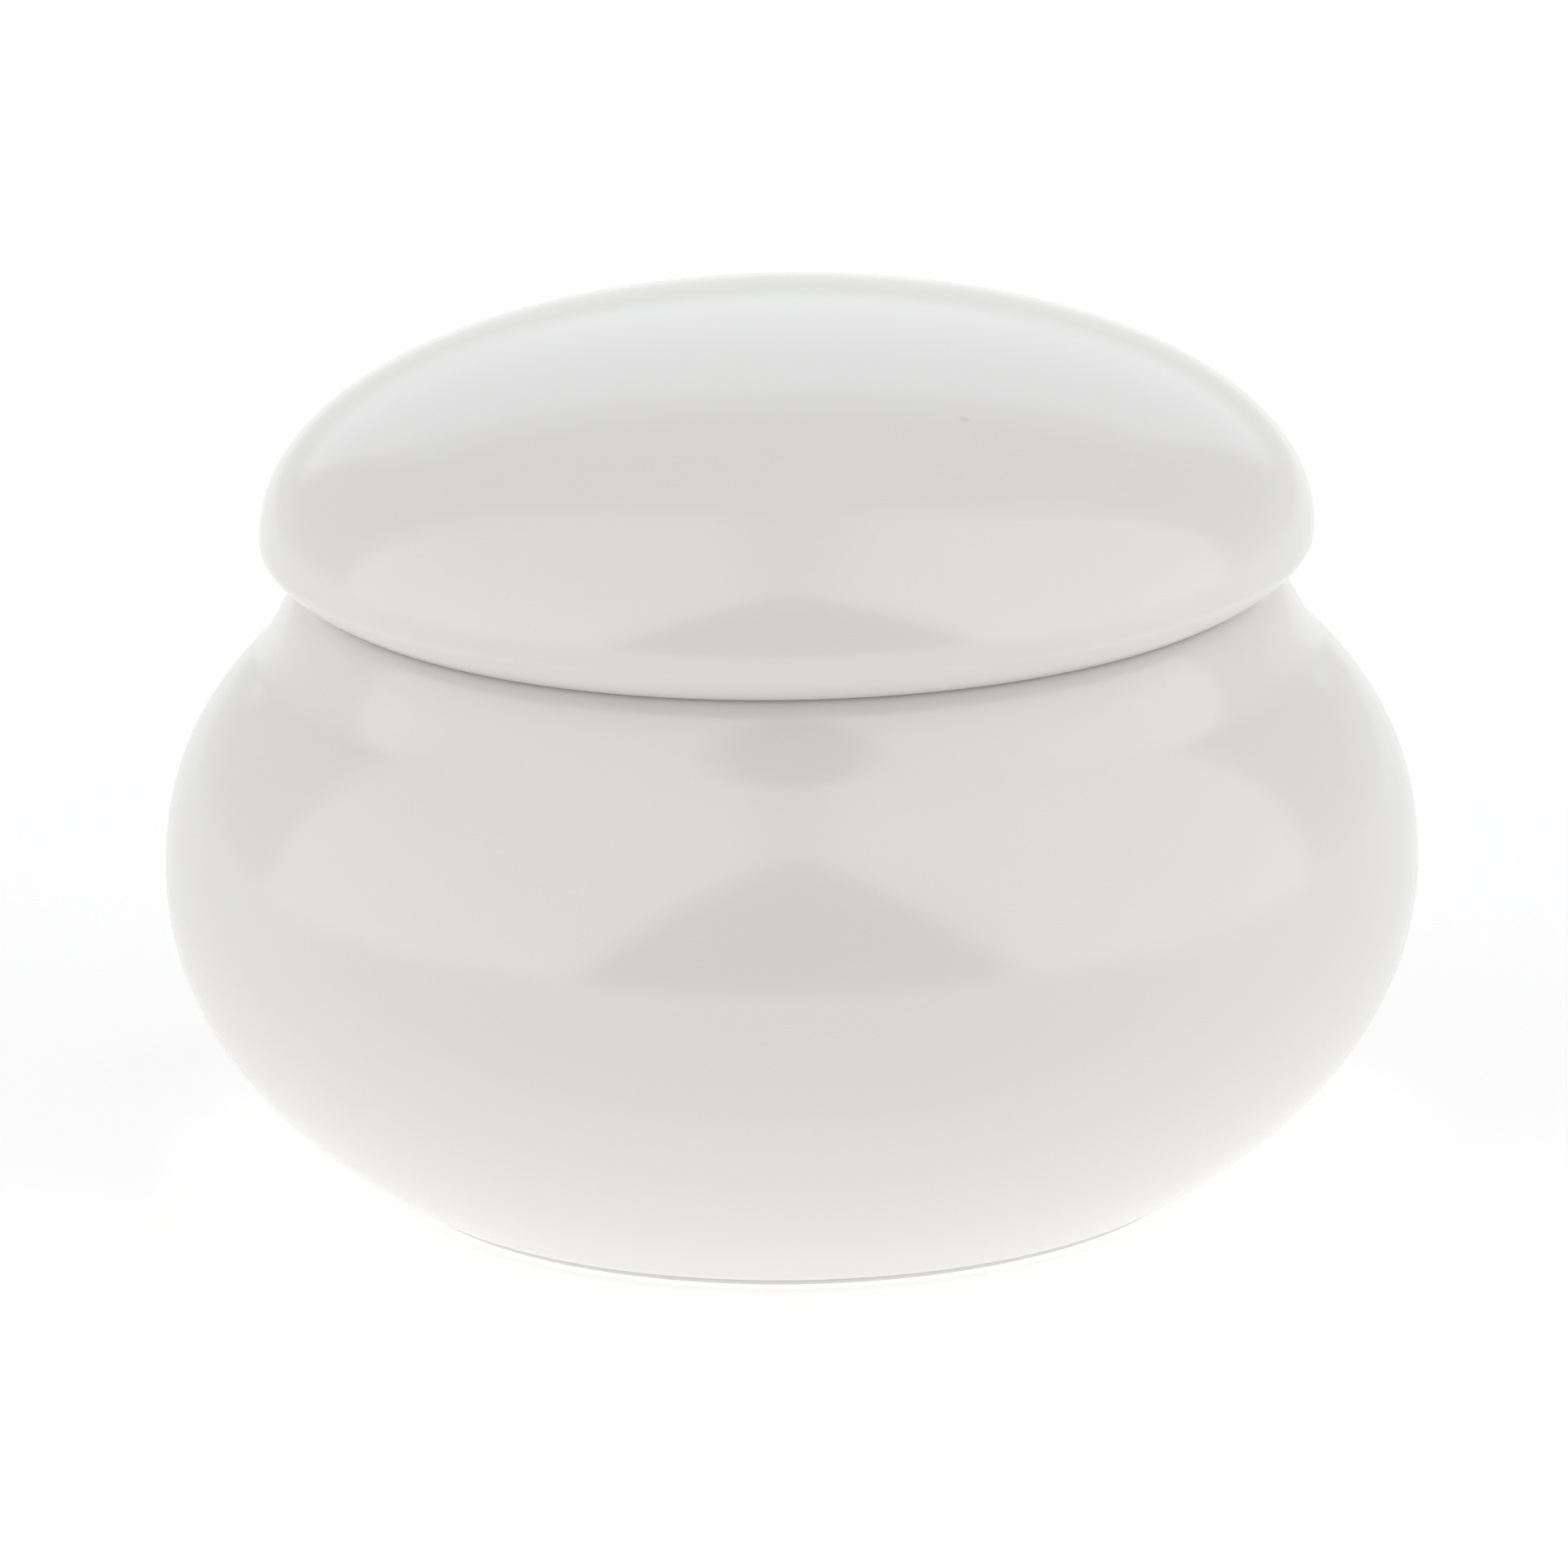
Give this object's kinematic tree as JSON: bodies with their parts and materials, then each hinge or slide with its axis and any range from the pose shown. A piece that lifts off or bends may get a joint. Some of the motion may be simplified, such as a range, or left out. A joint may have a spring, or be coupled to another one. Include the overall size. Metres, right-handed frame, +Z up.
{
  "type": "cosmetic jar",
  "caption": "Squat round cream jar in glossy white plastic: bulging outer jar with a hung inner cup, domed screw lid with liner and gasket, and a seal disc with a fold-up tab.",
  "frame": {"origin": "centre of the foot, on the surface that the jar stands on", "axes": "+Z up along the jar's axis; the pull tab's straight edge runs along X and its round side points to -Y"},
  "size_m": [0.074, 0.074, 0.052],
  "materials": {
    "gloss_white": "high gloss, faintly milky white",
    "satin_white": "satin, as moulded",
    "soft_white": "matte, slightly waxy",
    "foam_white": "matte closed-cell foam"
  },
  "bodies": {
    "jar": {"outer_jar": "gloss_white", "base_plate": "satin_white", "inner_cup": "satin_white"},
    "gasket": {"lid_gasket": "foam_white"},
    "lid": {"lid_dome": "gloss_white", "lid_liner": "satin_white"},
    "disc": {"seal_disc": "soft_white"},
    "tab": {"pull_tab": "soft_white"}
  },
  "joints": [
    {"name": "lid_rise", "type": "slide", "parent": "jar", "child": "gasket", "axis": [0, 0, 1], "range_m": [0, 0.027]},
    {"name": "lid_turn", "type": "hinge", "parent": "gasket", "child": "lid", "pos_m": [0, 0, 0.0367], "axis": [0, 0, 1], "range_deg": [0, 1080]},
    {"name": "disc_lift", "type": "slide", "parent": "jar", "child": "disc", "axis": [0, 0, 1], "range_m": [0, 0.012]},
    {"name": "tab_fold", "type": "hinge", "parent": "disc", "child": "tab", "pos_m": [0, 0.0045, 0.04095], "axis": [-1, 0, 0], "range_deg": [0, 90]}
  ],
  "couplings": [
    {"joint": "lid_rise", "follows": "lid_turn", "m_per_rad": 0.0014324},
    {"joint": "disc_lift", "follows": "lid_turn", "m_per_rad": 0.00063662},
    {"joint": "tab_fold", "follows": "lid_turn", "ratio": 0.083333}
  ]
}
